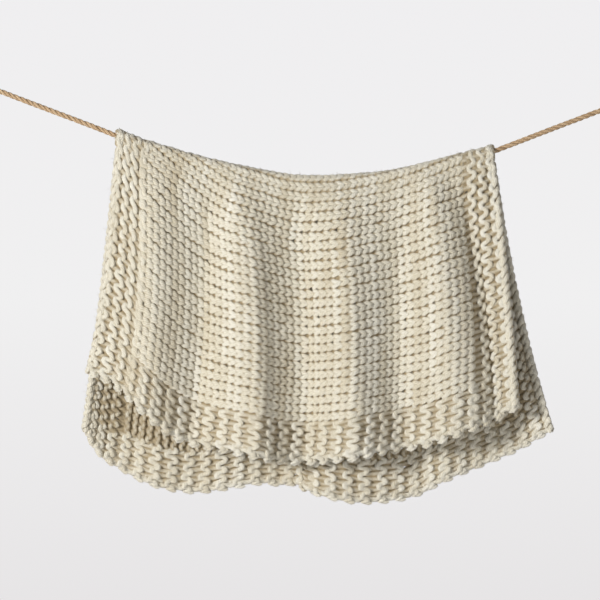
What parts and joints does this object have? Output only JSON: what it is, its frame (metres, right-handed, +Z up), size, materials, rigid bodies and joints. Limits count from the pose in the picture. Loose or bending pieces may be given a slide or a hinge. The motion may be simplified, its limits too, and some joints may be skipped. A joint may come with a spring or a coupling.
{
  "type": "knitted blanket on a rope",
  "caption": "Chunky hand-knitted cream blanket with garter stitch borders, hung folded over a sagging twisted rope.",
  "frame": {"origin": "middle of the eye at the rope's left end, where a hook or post outside the part holds it", "axes": "+X along the rope towards its right end, +Z up, -Y towards the viewer and the shorter front flap"},
  "size_m": [1.1535, 0.1343, 0.7098],
  "materials": {
    "cream wool": "soft loosely twisted wool yarn",
    "rope fibre": "coarse twisted plant fibre",
    "whipping twine": "thin waxed twine wound tight"
  },
  "bodies": {
    "root": {"blanket": "cream wool", "rope": "rope fibre", "whipping_left": "whipping twine", "whipping_right": "whipping twine"}
  },
  "joints": []
}
